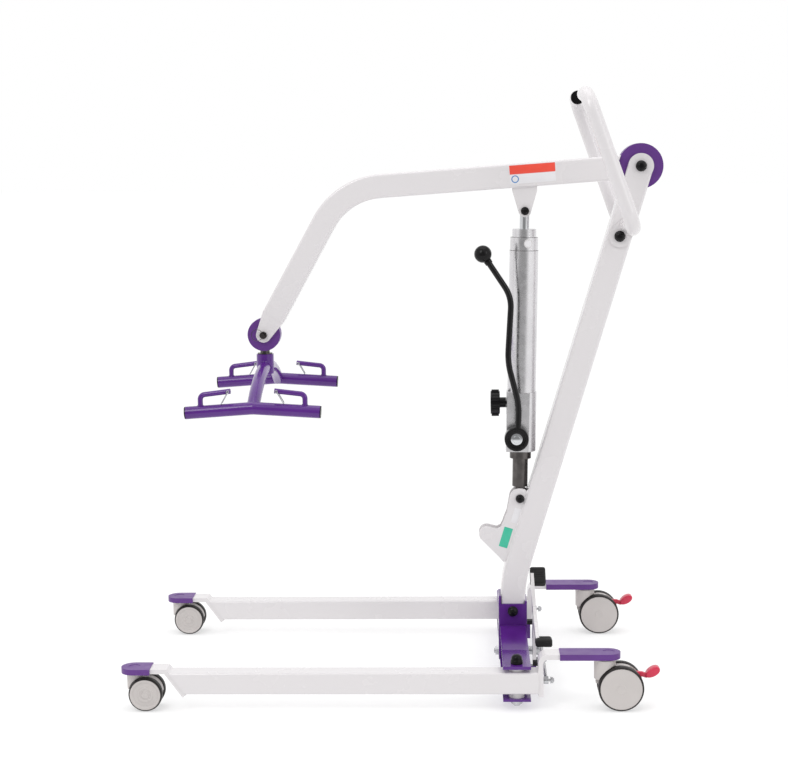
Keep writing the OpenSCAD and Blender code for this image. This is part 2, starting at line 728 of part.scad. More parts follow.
// One hook: upright leg, bend and a run that rises a little towards the middle of the bar
module hook(s, y) {
    foot = hook_foot(s, y);
    tip = hook_tip(s, y);
    turn = 90 - hook_slope;
    rise = hook_bend * sin(turn) + (hook_run - hook_bend * (1 - cos(turn))) * tan(hook_slope);
    bend_p = [foot[0] - s * hook_bend, y, tip[2] - rise];
    dir = [-s * cos(hook_slope), 0, sin(hook_slope)];
    start = bend_p + hook_bend * [s * cos(turn), 0, sin(turn)];
    strut(foot, [foot[0], y, bend_p[2] + lap / 2], hook_d);
    translate(bend_p) rotate([90, 0, 0]) rotate([0, 0, s > 0 ? 0 : 180 - turn])
        rotate_extrude(angle = turn) translate([hook_bend, 0]) circle(d = hook_d + full);
    strut(start - lap / 2 * dir, tip, hook_d);
}

module sling_hooks() color("#6a3596") difference() {
    for (s = [-1, 1], y = [-bar_y, bar_y])
        hook(s, y);
    for (y = [-bar_y, bar_y])
        sling_bar(y);
    for (s = [-1, 1], y = [-bar_y, bar_y])
        cyl_y([gate_pin(s, y)[0], gate_pin(s, y)[2]], y - 20, y + 20, wire_d + 2 * fit);
}

module bar_end_caps() color("#1d1c1e") for (s = [-1, 1], y = [-bar_y, bar_y])
    strut(bar_point(s, bar_len / 2, y), bar_point(s, bar_len / 2 + 2.5, y), bar_d - 1);

function gate_pin(s, y) = hook_tip(s, y) + [s * 5, 0, -0.6];

// Sprung wire gate between the tip of a hook and the bar
module gate(s, y) color("#a9abae") {
    p = gate_pin(s, y);
    q = p + gate_len * [s * cos(gate_slope), 0, -sin(gate_slope)];
    side = [0, hook_d / 2 + wire_d / 2 + 0.5, 0];
    strut(p - side, p + side, wire_d);
    strut(q - side, q + side, wire_d);
    for (k = [-1, 1]) {
        strut(p + k * side, q + k * side, wire_d);
        ball(p + k * side, wire_d);
        ball(q + k * side, wire_d);
    }
}

module gate_front_left() gate(-1, -bar_y);
module gate_rear_left() gate(1, -bar_y);
module gate_front_right() gate(-1, bar_y);
module gate_rear_right() gate(1, bar_y);

// ---- Pump ----

// Places a part of the pump with its lower pin at the origin and its axis along Z
module on_pump() translate([pump_pin[0], 0, pump_pin[1]]) rotate([0, pump_lean, 0]) children();

module pump_foot() color("#5b5a5c") on_pump() {
    difference() {
        union() {
            translate([0, bracket_in - 0.5, 0]) rotate([90, 0, 0]) cylinder(h = 2 * bracket_in - 1, d = foot_d);
            translate([1 - foot_d / 2, -bracket_in + 0.5, 0]) cube([foot_d - 2, 2 * bracket_in - 1, 30]);
            translate([0, 0, 27]) cylinder(h = 67, d = 36);
        }
        rotate([90, 0, 0]) cylinder(h = 60, d = pump_pin_d + fit, center = true);
    }
    translate([0, 0, 94]) cylinder(h = block_u - 94, d = 50);
}

module pump_block() color("#c9cacc") {
    difference() {
        on_pump() translate([0, 0, block_u]) linear_extrude(block_h) {
            intersection() {
                circle(r = 35);
                square([80, 62], center = true);
            }
            translate([-34, -31]) square([52, 62]);
        }
        cyl_x(leg_pivot_x - 30, leg_pivot_x + 6, 0, valve_z, 8 + fit);
    }
    // spindle of the pump lever
    cyl_y(lever_hub, -58, -20, 14);
}

module pump_cylinder() color("#d6d7d8") on_pump() difference() {
    translate([0, 0, block_u + block_h]) cylinder(h = collar_u - block_u - block_h, d = cylinder_d);
    translate([0, 0, 262]) cylinder(h = 400, d = cylinder_d - 12);
}

// Gland and cap that guide the piston rod
module pump_gland() color("#e3e4e5") on_pump() difference() {
    union() {
        translate([0, 0, gland_u]) cylinder(h = collar_u - gland_u, d = cylinder_d - 12);
        translate([0, 0, collar_u]) cylinder(h = collar_top_u - collar_u, d = cylinder_d - 2);
        translate([0, 0, collar_top_u]) cylinder(h = 19, d = 55);
    }
    cylinder(h = 700, d = rod_d + fit);
}

module piston_rod() color("#c8cacd") on_pump() {
    translate([0, 0, piston_u]) cylinder(h = pump_len - piston_u - 4, d = rod_d);
    translate([0, 0, piston_u]) cylinder(h = 14, d = cylinder_d - 13);
    translate([0, lug_in - 1, pump_len]) rotate([90, 0, 0]) cylinder(h = 2 * lug_in - 2, d = 27);
}

module pump_lever() color("#262427") {
    y = lever_y - 6;
    p1 = [leg_pivot_x + 15.4, y, 636.7];
    p2 = [leg_pivot_x - 10.4, y, 736.7];
    p3 = [leg_pivot_x - 1.2, y, 887.1];
    difference() {
        union() {
            cyl_y(lever_hub, lever_y - 12, -32.2, 56);
            plate_y(y - 6, y + 6) wedge2d(lever_hub, [p1[0], p1[2]], 14, 7);
        }
        cyl_y(lever_hub, -59, -20, 14 + fit);
    }
    strut(p1, p2, lever_rod_d);
    strut(p2, p3, lever_rod_d);
    strut(p3, knob_p - 12 * (knob_p - p3) / norm(knob_p - p3), lever_rod_d);
    for (p = [p1, p2, p3])
        ball(p, lever_rod_d + 2 * full);
}

// Ball knob with a blind bore for the end of the rod
module lever_knob() color("#161517") translate(knob_p) rotate([0, -33.3, 0]) difference() {
    sphere(d = 40);
    translate([0, 0, -30]) cylinder(h = 18, d = lever_rod_d);
}

// Seven-lobed hand wheel of the lowering valve
module release_knob() color("#262427") {
    x1 = leg_pivot_x - 13.3;
    x0 = leg_pivot_x - 49;
    difference() {
        union() {
            cyl_x(x0, x0 + 21, 0, valve_z, 54);
            for (k = [0 : 6])
                translate([x0 + 2, 26 * cos(k * 360 / 7), valve_z + 26 * sin(k * 360 / 7)])
                    rotate([0, 90, 0]) cylinder(h = 17, d = 12);
            cyl_x(x0 + 21, x1, 0, valve_z, 24);
            cyl_x(x1 - 1, x1 + 14, 0, valve_z, 8);
        }
        cyl_x(x0 - 1, x0 + 2, 0, valve_z, 38);
    }
}

// ---- Castors ----

// Places a castor part with its axle at the origin
module at_castor(front, s) translate([front ? front_axle_x : rear_axle_x, s * leg_y,
    (front ? front_wheel_d : rear_wheel_d) / 2]) children();

module housing(r, trail, cup_d, top) {
    slot = 5.5;
    brake = r > 45;
    difference() {
        union() {
            translate([0, web_half, 0]) rotate([90, 0, 0]) linear_extrude(2 * web_half) {
                intersection() {
                    circle(r = r - 2);
                    rotate(8) translate([-r, -3]) square([2 * r, r + 4]);
                }
                circle(r = 13);
                translate([-trail - cup_d / 2 + 4, 8]) square([cup_d - 8, top - 10]);
            }
            translate([-trail, 0, top - cup_d * 0.9]) cylinder(h = cup_d * 0.9, d = cup_d);
        }
        // room for the wheels
        for (s = [-1, 1])
            translate([0, s > 0 ? 100 : -web_half, 0]) rotate([90, 0, 0])
                cylinder(h = 100 - web_half, r = r + 1.8);
        translate([-trail, 0, top - 27]) cylinder(h = 40, d = stem_d + fit);
        if (brake) translate([20, -slot, 16]) cube([40, 2 * slot, 50]);
    }
    rotate([90, 0, 0]) cylinder(h = twin_w - 4, d = 8, center = true);
    if (brake) translate([34, 0, 27]) rotate([90, 0, 0]) cylinder(h = 2 * web_half, d = 5, center = true);
}

module rims(r, dish) for (s = [-1, 1]) scale([1, s, 1]) rotate([-90, 0, 0]) rotate_extrude()
    polygon([[4.05, wheel_gap], [r * rim_share, wheel_gap], [r * rim_share, twin_w / 2 - 1.5],
        [r * 0.88, twin_w / 2 - 0.5], [r * 0.80, twin_w / 2 - 1], [r * 0.74, twin_w / 2 - 1 - dish],
        [r * 0.42, twin_w / 2 - 1 - dish], [r * 0.36, twin_w / 2 - 0.6], [4.05, twin_w / 2 - 0.6]]);

module tyres(r) for (s = [-1, 1]) scale([1, s, 1]) rotate([-90, 0, 0]) rotate_extrude()
    polygon([[r * rim_share, wheel_gap], [r - 2, wheel_gap], [r - 0.5, wheel_gap + 2], [r, wheel_gap + 5],
        [r, twin_w / 2 - 5], [r - 0.6, twin_w / 2 - 2], [r - 2.2, twin_w / 2],
        [r * rim_share, twin_w / 2 - 0.8]]);

module front_housing(s) color("#cfc8c5") at_castor(true, s) housing(front_wheel_d / 2, 24.8, 38,
    front_arm_z - 3.4 - front_wheel_d / 2);

module rear_housing(s) color("#cfc8c5") at_castor(false, s) housing(rear_wheel_d / 2, 34.1, 48,
    rear_arm_z - 3.4 - rear_wheel_d / 2);

module housing_front_left() front_housing(-1);
module housing_front_right() front_housing(1);
module housing_rear_left() rear_housing(-1);
module housing_rear_right() rear_housing(1);

module rims_front_left() color("#d3ccc9") at_castor(true, -1) rims(front_wheel_d / 2, 4);
module rims_front_right() color("#d3ccc9") at_castor(true, 1) rims(front_wheel_d / 2, 4);
module rims_rear_left() color("#d3ccc9") at_castor(false, -1) rims(rear_wheel_d / 2, 0.4);
module rims_rear_right() color("#d3ccc9") at_castor(false, 1) rims(rear_wheel_d / 2, 0.4);

module tyres_front_left() color("#332e2c") at_castor(true, -1) tyres(front_wheel_d / 2);
module tyres_front_right() color("#332e2c") at_castor(true, 1) tyres(front_wheel_d / 2);
module tyres_rear_left() color("#332e2c") at_castor(false, -1) tyres(rear_wheel_d / 2);
module tyres_rear_right() color("#332e2c") at_castor(false, 1) tyres(rear_wheel_d / 2);

// Foot brake: a cranked lever between the wheels that ends in a wide paddle
module brake_pedal(s) color("#d63b50") at_castor(false, s) {
    difference() {
        plate_y(-5, 5) {
            wedge2d([34, 27], [47, 27], 6, 5);
            wedge2d([47, 27], [57, 23], 5, 4.5);
            wedge2d([57, 23], [64, 27], 4.5, 5);
        }
        cyl_y([34, 27], -20, 20, 5 + fit);
    }
    plate_y(-11, 11) wedge2d([60, 26], [77, 36.5], 8, 9.8);
}

module brake_pedal_left() brake_pedal(-1);
module brake_pedal_right() brake_pedal(1);

base_bracket();
mast();
pump_bracket();
cross_bolts();
bolt_caps();
handle();
handle_plugs();
leg_pivot_bolts();
leg_pivot_caps();
leg_washers();
pedal_pivot_bolt();
pedal_stops();
leg_left();
leg_right();
arm_caps_left();
arm_caps_right();
castor_stems_left();
castor_stems_right();
pedal_rocker();
pedal_pads();
link_rod_left();
link_rod_right();
boom();
boom_rear_hub();
boom_lug();
lug_bolt_caps();
release_pin();
release_ring();
cradle_hub();
cradle_swivel();
cradle_frame();
sling_hooks();
bar_end_caps();
gate_front_left();
gate_rear_left();
gate_front_right();
gate_rear_right();
pump_foot();
pump_block();
pump_cylinder();
pump_gland();
piston_rod();
pump_lever();
lever_knob();
release_knob();
housing_front_left();
housing_front_right();
housing_rear_left();
housing_rear_right();
rims_front_left();
rims_front_right();
rims_rear_left();
rims_rear_right();
tyres_front_left();
tyres_front_right();
tyres_rear_left();
tyres_rear_right();
brake_pedal_left();
brake_pedal_right();
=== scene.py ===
"""Looks of a mobile patient lift: materials, detailed pieces, floor, light and camera. Metres, CAD frame."""
import json
from math import cos, pi, radians, sin

import bmesh
import bpy
from mathutils import Matrix, Vector


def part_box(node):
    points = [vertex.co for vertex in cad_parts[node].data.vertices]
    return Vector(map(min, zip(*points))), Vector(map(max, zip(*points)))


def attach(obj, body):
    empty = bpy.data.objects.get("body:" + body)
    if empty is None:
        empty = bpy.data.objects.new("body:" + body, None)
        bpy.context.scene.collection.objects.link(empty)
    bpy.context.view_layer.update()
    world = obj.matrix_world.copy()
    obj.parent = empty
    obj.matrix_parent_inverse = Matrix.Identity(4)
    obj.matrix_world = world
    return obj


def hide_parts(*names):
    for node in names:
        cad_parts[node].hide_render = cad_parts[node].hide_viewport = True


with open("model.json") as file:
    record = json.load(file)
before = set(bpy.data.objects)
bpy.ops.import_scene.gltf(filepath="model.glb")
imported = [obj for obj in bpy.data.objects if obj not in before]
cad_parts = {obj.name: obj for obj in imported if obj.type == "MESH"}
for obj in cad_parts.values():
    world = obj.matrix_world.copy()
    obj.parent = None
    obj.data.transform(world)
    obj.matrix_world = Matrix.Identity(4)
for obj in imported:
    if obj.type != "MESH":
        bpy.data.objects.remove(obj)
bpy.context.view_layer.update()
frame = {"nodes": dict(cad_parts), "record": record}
record = frame["record"]
nodes = frame["nodes"]
JOINT = {j["name"]: Vector(j.get("pos_m", (0, 0, 0))) for j in record["behaviour"]["joints"]}
scene = bpy.context.scene
MM = 0.001
X, Y, Z = Vector((1, 0, 0)), Vector((0, 1, 0)), Vector((0, 0, 1))


# ---- Materials ----

def material(name, base, rough, metal=0.0, coat=0.0, coat_rough=0.08, cloud=(6, 0.05), gloss=(40, 0.06),
             bumps=(), speck=None, aniso=0.0, ior=1.5):
    """A Principled material: cloudy colour, uneven gloss, bump layers (scale, depth, stretch) and specks."""
    m = bpy.data.materials.new(name)
    m.use_nodes = True
    tree = m.node_tree
    new, link = tree.nodes.new, tree.links.new
    shader = tree.nodes["Principled BSDF"]
    place = new("ShaderNodeTexCoord").outputs["Object"]

    def noise(scale, stretch=(1, 1, 1), detail=4.0):
        mapping = new("ShaderNodeMapping")
        mapping.inputs["Scale"].default_value = stretch
        link(place, mapping.inputs["Vector"])
        n = new("ShaderNodeTexNoise")
        n.inputs["Scale"].default_value = scale
        n.inputs["Detail"].default_value = detail
        link(mapping.outputs["Vector"], n.inputs["Vector"])
        return n.outputs["Fac"]

    def spread(value, low, high, a=0.3, b=0.7):
        r = new("ShaderNodeMapRange")
        for key, v in (("From Min", a), ("From Max", b), ("To Min", low), ("To Max", high)):
            r.inputs[key].default_value = v
        link(value, r.inputs["Value"])
        return r.outputs["Result"]

    def mix(fac, a, b):
        x = new("ShaderNodeMix")
        x.data_type = "RGBA"
        for socket, v in ((x.inputs["Factor"], fac), (x.inputs["A"], a), (x.inputs["B"], b)):
            if isinstance(v, bpy.types.NodeSocket):
                link(v, socket)
            else:
                socket.default_value = v
        return x.outputs["Result"]

    dark = [c * (1 - cloud[1]) for c in base] + [1]
    light = [min(1, c * (1 + cloud[1])) for c in base] + [1]
    colour = mix(spread(noise(cloud[0]), 0, 1), dark, light)
    if speck:
        scale, share, tint = speck
        colour = mix(spread(noise(scale, detail=2.0), 0, 0.85, share, share + 0.06), colour, list(tint) + [1])
    link(colour, shader.inputs["Base Color"])
    link(spread(noise(gloss[0]), max(0.02, rough - gloss[1]), rough + gloss[1]), shader.inputs["Roughness"])
    shader.inputs["Metallic"].default_value = metal
    shader.inputs["IOR"].default_value = ior
    shader.inputs["Coat Weight"].default_value = coat
    shader.inputs["Coat Roughness"].default_value = coat_rough
    shader.inputs["Anisotropic"].default_value = aniso
    normal = None
    for scale, depth, stretch in bumps:
        b = new("ShaderNodeBump")
        b.inputs["Strength"].default_value = 1.0
        b.inputs["Distance"].default_value = depth
        link(noise(scale, stretch, 2.0), b.inputs["Height"])
        if normal:
            link(normal, b.inputs["Normal"])
        normal = b.outputs["Normal"]
    if normal:
        link(normal, shader.inputs["Normal"])
    return m


EVEN = (1, 1, 1)
MAT = {
    "white_coat": material("white_coat", (0.725, 0.700, 0.710), 0.27, coat=0.30, cloud=(3, 0.005),
                           gloss=(12, 0.01), bumps=((420, 0.00005, EVEN),),
                           speck=(900, 0.78, (0.55, 0.53, 0.54))),
    "purple_coat": material("purple_coat", (0.088, 0.014, 0.205), 0.20, coat=0.35, cloud=(12, 0.08),
                            gloss=(25, 0.04), bumps=((450, 0.00006, EVEN), (70, 0.00004, EVEN)), ior=1.38),
    "purple_plastic": material("purple_plastic", (0.118, 0.038, 0.225), 0.36, cloud=(16, 0.06),
                               bumps=((1500, 0.00003, EVEN),), ior=1.4),
    "black_plastic": material("black_plastic", (0.006, 0.0055, 0.006), 0.20, cloud=(30, 0.25),
                              bumps=((900, 0.00003, EVEN),), ior=1.27),
    "black_rubber": material("black_rubber", (0.013, 0.0125, 0.013), 0.60, cloud=(40, 0.30), gloss=(60, 0.08),
                             bumps=((700, 0.00012, EVEN),), speck=(300, 0.74, (0.04, 0.04, 0.04)), ior=1.35),
    "zinc": material("zinc", (0.50, 0.505, 0.52), 0.26, metal=1, cloud=(90, 0.18), gloss=(200, 0.10),
                     bumps=((1200, 0.00003, EVEN),)),
    "nylon": material("nylon", (0.70, 0.69, 0.67), 0.45, cloud=(30, 0.04), bumps=((800, 0.00004, EVEN),)),
    "dark_steel": material("dark_steel", (0.10, 0.092, 0.09), 0.18, metal=1, cloud=(60, 0.25),
                           gloss=(120, 0.05), bumps=((500, 0.00002, (1, 1, 6)),)),
    "brushed_aluminium": material("brushed_aluminium", (0.69, 0.68, 0.695), 0.26, metal=1, cloud=(14, 0.06),
                                  gloss=(60, 0.06), bumps=((900, 0.00003, (0.03, 0.03, 1)),), aniso=0.35),
    "chrome": material("chrome", (0.62, 0.63, 0.65), 0.07, metal=1, cloud=(20, 0.05), gloss=(80, 0.03),
                       bumps=((60, 0.00001, EVEN),)),
    "black_paint": material("black_paint", (0.008, 0.0075, 0.008), 0.16, cloud=(30, 0.25),
                            bumps=((400, 0.00005, EVEN),), speck=(260, 0.78, (0.08, 0.07, 0.07)), ior=1.32),
    "grey_plastic": material("grey_plastic", (0.56, 0.525, 0.51), 0.40, cloud=(12, 0.04), gloss=(50, 0.06),
                             bumps=((1400, 0.00004, EVEN),)),
    "tyre": material("tyre", (0.016, 0.0135, 0.013), 0.50, cloud=(50, 0.25), gloss=(60, 0.08),
                     bumps=((500, 0.00010, EVEN),), speck=(160, 0.74, (0.05, 0.045, 0.042)), ior=1.38),
    "red_plastic": material("red_plastic", (0.60, 0.030, 0.075), 0.28, coat=0.15, cloud=(20, 0.08),
                            bumps=((900, 0.00004, EVEN),), ior=1.42),
}
LABEL = {}
for colour, base, rough, cloudy in (("red", (0.82, 0.075, 0.045), 0.35, 0.05),
                                    ("white", (0.78, 0.77, 0.79), 0.35, 0.02),
                                    ("green", (0.045, 0.52, 0.34), 0.38, 0.06),
                                    ("blue", (0.05, 0.22, 0.52), 0.35, 0.05)):
    LABEL[colour] = material("label_" + colour, base, rough, coat=0.2, cloud=(30, cloudy),
                             bumps=((300, 0.00002, EVEN),))

for part in record["subparts"]:
    mesh = nodes[part["node"]].data
    mesh.materials.clear()
    mesh.materials.append(MAT[part["material_slot"]])


# ---- Mesh helpers ----

def piece(name, bm, mat, body, stands_for=(), sharp=32):
    """Turns a bmesh made in place into a visible piece that rides a body."""
    bmesh.ops.recalc_face_normals(bm, faces=bm.faces)
    mesh = bpy.data.meshes.new(name)
    bm.to_mesh(mesh)
    bm.free()
    for p in mesh.polygons:
        p.use_smooth = True
    mesh.set_sharp_from_angle(angle=radians(sharp))
    o = bpy.data.objects.new(name, mesh)
    scene.collection.objects.link(o)
    if isinstance(mat, str):
        mesh.materials.append(MAT[mat])
    else:
        mesh.materials.append(mat)
    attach(o, body)
    if stands_for:
        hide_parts(*stands_for)
    return o


def basis(axis):
    w = Vector(axis).normalized()
    u = (Y if abs(w.dot(Y)) < 0.9 else X).cross(w).normalized()
    return u, w.cross(u), w


def soften(points, size, steps=4, closed=False):
    """Rounds the inner corners of a 2D polyline by about size."""
    out = []
    count = len(points)
    for i, p in enumerate(points):
        if not closed and i in (0, count - 1):
            out.append(p)
            continue
        a, b = points[i - 1], points[(i + 1) % count]
        la = max(1e-9, ((a[0] - p[0]) ** 2 + (a[1] - p[1]) ** 2) ** 0.5)
        lb = max(1e-9, ((b[0] - p[0]) ** 2 + (b[1] - p[1]) ** 2) ** 0.5)
        ka, kb = min(size, la * 0.45) / la, min(size, lb * 0.45) / lb
        s = (p[0] + (a[0] - p[0]) * ka, p[1] + (a[1] - p[1]) * ka)
        e = (p[0] + (b[0] - p[0]) * kb, p[1] + (b[1] - p[1]) * kb)
        for k in range(steps + 1):
            t = k / steps
            out.append(tuple((1 - t) ** 2 * s[c] + 2 * t * (1 - t) * p[c] + t * t * e[c] for c in (0, 1)))
    return out


def skin(bm, rows, segs, ring):
    """Joins rows of vertices with faces. One vertex makes a pole; ring joins the last row to the first."""
    pairs = list(zip(rows, rows[1:])) + ([(rows[-1], rows[0])] if ring else [])
    for a, b in pairs:
        for k in range(segs):
            n = (k + 1) % segs
            quad = [a[k % len(a)], a[n % len(a)], b[n % len(b)], b[k % len(b)]]
            quad = [q for i, q in enumerate(quad) if q not in quad[:i]]
            if len(quad) > 2:
                bm.faces.new(quad)
    return bm


def lathe(bm, profile, at, axis, segs=56, ring=False):
    """Turns (radius, height) points in millimetres about an axis through at."""
    u, v, w = basis(axis)
    rows = []
    for r, h in profile:
        c = Vector(at) + w * h * MM
        if r < 1e-6:
            rows.append([bm.verts.new(c)])
        else:
            rows.append([bm.verts.new(c + (u * cos(2 * pi * k / segs) + v * sin(2 * pi * k / segs)) * r * MM)
                         for k in range(segs)])
    return skin(bm, rows, segs, ring)


def tube(bm, points, radii, sides=14, loop=False):
    """A round tube through points; radii is one number or one for each point, in metres."""
    pts = [Vector(p) for p in points]
    count = len(pts)
    rad = [radii] * count if isinstance(radii, (int, float)) else radii
    rings = []
    side = None
    for i, p in enumerate(pts):
        if loop:
            d = pts[(i + 1) % count] - pts[i - 1]
        else:
            d = pts[min(i + 1, count - 1)] - pts[max(i - 1, 0)]
        d.normalize()
        side = d.orthogonal().normalized() if side is None else (side - d * side.dot(d)).normalized()
        other = d.cross(side)
        spokes = [side * cos(2 * pi * k / sides) + other * sin(2 * pi * k / sides) for k in range(sides)]
        rings.append([bm.verts.new(p + spoke * rad[i]) for spoke in spokes])
    for a, b in zip(rings, rings[1:]):
        for k in range(sides):
            bm.faces.new((a[k], a[(k + 1) % sides], b[(k + 1) % sides], b[k]))
    if loop:
        first, last = rings[0], rings[-1]
        turn = min(range(sides), key=lambda s: (first[s].co - last[0].co).length)
        for k in range(sides):
            bm.faces.new((last[k], last[(k + 1) % sides],
                          first[(k + 1 + turn) % sides], first[(k + turn) % sides]))
    else:
        bm.faces.new(rings[0][::-1])
        bm.faces.new(rings[-1])
    return bm


def slab(bm, outline, at, u, v, thick, edge=0.3, steps=2):
    """Extrudes a 2D outline in millimetres, laid along u and v from at, with rounded rims, towards u x v."""
    u, v = Vector(u).normalized(), Vector(v).normalized()
    w = u.cross(v)
    n = len(outline)
    area = sum(outline[i - 1][0] * outline[i][1] - outline[i][0] * outline[i - 1][1] for i in range(n))
    pts = outline if area > 0 else outline[::-1]
    normals = []
    for i in range(n):
        a, b = pts[i - 1], pts[(i + 1) % n]
        d = Vector((b[1] - a[1], a[0] - b[0]))
        normals.append(d.normalized() if d.length > 1e-9 else Vector((0, 0)))
    levels = []
    for k in range(steps + 1):
        t = k / steps * pi / 2
        levels.append((edge * (1 - sin(t)), edge * (1 - cos(t))))
    rims = levels + [(i, thick - h) for i, h in reversed(levels)]
    rings = [[bm.verts.new(Vector(at) + (u * (p[0] - m[0] * inset) + v * (p[1] - m[1] * inset) + w * h) * MM)
              for p, m in zip(pts, normals)] for inset, h in rims]
    for a, b in zip(rings, rings[1:]):
        for k in range(n):
            bm.faces.new((a[k], a[(k + 1) % n], b[(k + 1) % n], b[k]))
    bm.faces.new(rings[0][::-1])
    bm.faces.new(rings[-1])
    return bm


def box2d(w, h, r=0.0, steps=4):
    pts = [(-w / 2, -h / 2), (w / 2, -h / 2), (w / 2, h / 2), (-w / 2, h / 2)]
    return soften(pts, r, steps, closed=True) if r else pts


def hexagon(across, turn=0.0):
    r = across / 2 / cos(pi / 6)
    return [(r * cos(pi / 3 * k + turn), r * sin(pi / 3 * k + turn)) for k in range(6)]


def nut(bm, at, axis, across, high, washer=0.0, bolt=0.0, proud=2.0, turn=0.3):
    """A hexagon nut with chamfered corners, on a washer, with the end of its bolt standing proud."""
    u, v, w = basis(axis)
    at = Vector(at)
    if washer:
        lathe(bm, soften([(0, 0), (washer / 2, 0), (washer / 2, 1.4), (0, 1.4)], 0.3, 2), at, w, 40)
        at = at + w * 1.4 * MM
    slab(bm, hexagon(across, turn), at, u, v, high, min(1.2, high * 0.2), 3)
    if bolt:
        end = [(0, high * 0.5), (bolt / 2, high * 0.5)]
        turns = int((high * 0.5 + proud) / 0.8)
        for k in range(1, turns):
            end.append((bolt / 2 - (0.35 if k % 2 else 0.0), high * 0.5 + k * 0.8))
        end += [(bolt / 2 - 0.6, high + proud), (0, high + proud)]
        lathe(bm, end, at, w, 28)
    return bm


def dome(bm, at, axis, d, high, base=3.0):
    """A moulded cap: short foot, soft shoulder and a domed top."""
    r = d / 2
    profile = [(0, 0.02), (r - 0.4, 0.02), (r, 0.5), (r, base - 0.4), (r - 0.5, base), (r - 1.0, base + 0.3)]
    rise = high - base
    for k in range(0, 11):
        t = k / 10 * pi / 2
        profile.append(((r - 1.2) * cos(t) ** 0.72 if k < 10 else 0, base + 0.5 + (rise - 0.5) * sin(t)))
    return lathe(bm, profile, at, axis, 48)


def bead(bm, points, r, pitch=3.2):
    """A weld seam with a rippled surface along points."""
    pts = [Vector(p) for p in points]
    dense, radii = [], []
    for a, b in zip(pts, pts[1:]):
        steps = max(2, int((b - a).length / MM / pitch * 4))
        for k in range(steps):
            dense.append(a.lerp(b, k / steps))
    dense.append(pts[-1])
    for i in range(len(dense)):
        ends = min(i, len(dense) - 1 - i)
        radii.append(r * MM * (0.86 + 0.14 * cos(i / 4 * 2 * pi)) * (0.45 + 0.55 * min(1, ends / 4)))
    return tube(bm, dense, radii, 8)


# ---- Places taken from the frame ----

boom_pin = JOINT["boom_lift"]
pump_pin = JOINT["pump_tilt"]
cradle_pin = JOINT["cradle_swing"]
lever_pin = JOINT["pump_lever"]
leg_pin = JOINT["leg_left_spread"]
bolts_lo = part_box("cross_bolts")[0]
foot_bolt = Vector((bolts_lo.x + 0.007, 0, bolts_lo.z + 0.007))
mast_lean = radians(16.94)   # from the vertical, towards the rear
up_mast = Vector((sin(mast_lean), 0, cos(mast_lean)))
out_mast = Vector((cos(mast_lean), 0, -sin(mast_lean)))
foot_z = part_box("leg_pivot_caps")[0].z
lug_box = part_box("lug_bolt_caps")
rod_pin = (lug_box[0] + lug_box[1]) / 2
up_pump = (rod_pin - pump_pin).normalized()
out_pump = up_pump.cross(Y) * -1
slope = radians(3.7)         # of the boom at rest
along_boom = Vector((cos(slope), 0, sin(slope)))
over_boom = Vector((-sin(slope), 0, cos(slope)))


def on_mast(z):
    """The point on the mast's middle line at height z."""
    return boom_pin - up_mast * ((boom_pin.z - z) / cos(mast_lean))


handle_pin = on_mast(1.0211)

# ---- Caps and fasteners ----

caps = bmesh.new()
for s in (-1, 1):
    for p, y, d, high in ((foot_bolt, 32.0, 24, 13.5), (pump_pin, 21.0, 20, 13.2),
                          (handle_pin, 32.2, 25, 13.8), (boom_pin, 27.0, 25, 13.8)):
        dome(caps, (p.x, s * y * MM, p.z), (0, s, 0), d, high, 4.5)
piece("bolt_caps_moulded", caps, "black_plastic", "base", ["bolt_caps"])

caps = bmesh.new()
for s in (-1, 1):
    lathe(caps, [(0, 0), (13.2, 0), (13.5, 0.4), (13.5, 7.6), (13.1, 8.4), (12.6, 9.2)]
          + [(12.4 * cos(k / 10 * pi / 2) ** 0.75 if k < 10 else 0, 9.6 + 11.2 * sin(k / 10 * pi / 2))
             for k in range(11)], (leg_pin.x, s * abs(leg_pin.y), foot_z), Z)
piece("leg_pivot_caps_moulded", caps, "black_plastic", "base", ["leg_pivot_caps"])

caps = bmesh.new()
for s in (-1, 1):
    lathe(caps, [(0, -0.3), (9.0, -0.3), (9.5, 0.1), (9.5, 3.6), (8.8, 5.2), (7.2, 6.6), (5.6, 6.95),
                 (4.6, 6.4), (0, 6.2)], (rod_pin.x, s * 0.018, rod_pin.z), (0, s, 0))
piece("lug_bolt_caps_moulded", caps, "black_plastic", "boom", ["lug_bolt_caps"])


# ---- Castors ----

